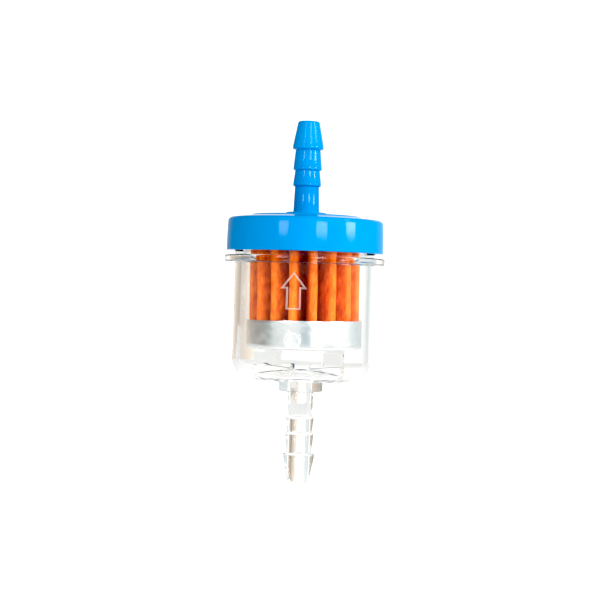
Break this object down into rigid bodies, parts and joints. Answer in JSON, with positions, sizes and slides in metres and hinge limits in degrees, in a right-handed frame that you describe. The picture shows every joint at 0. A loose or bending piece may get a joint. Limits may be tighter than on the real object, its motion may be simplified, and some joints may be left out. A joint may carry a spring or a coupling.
{
  "type": "inline fuel filter",
  "caption": "Round inline fuel filter for a small hose: clear bowl over a pleated paper element, blue outlet cap, and a ridged hose barb at each end, with a moulded flow arrow.",
  "frame": {"origin": "centre of the inlet barb's end, on the flow axis", "axes": "+Z along the flow axis from the inlet barb to the outlet barb, -Y towards the side with the moulded flow arrow"},
  "size_m": [0.0386, 0.0386, 0.0868],
  "materials": {
    "blue_plastic": "glossy moulded",
    "clear_plastic": "clear, polished",
    "resin_paper": "cured resin paper, fibrous",
    "tin_plate": "bright tin plate",
    "plastisol": "cured plastisol, satin",
    "black_rubber": "matte"
  },
  "bodies": {
    "root": {"outlet_cap": "blue_plastic", "bowl": "clear_plastic", "pleated_element": "resin_paper", "lower_end_cap": "tin_plate", "upper_end_cap": "tin_plate", "seam_clip": "tin_plate", "centre_tube": "tin_plate", "lower_potting": "plastisol", "upper_potting": "plastisol", "outlet_grommet": "black_rubber"}
  },
  "joints": []
}
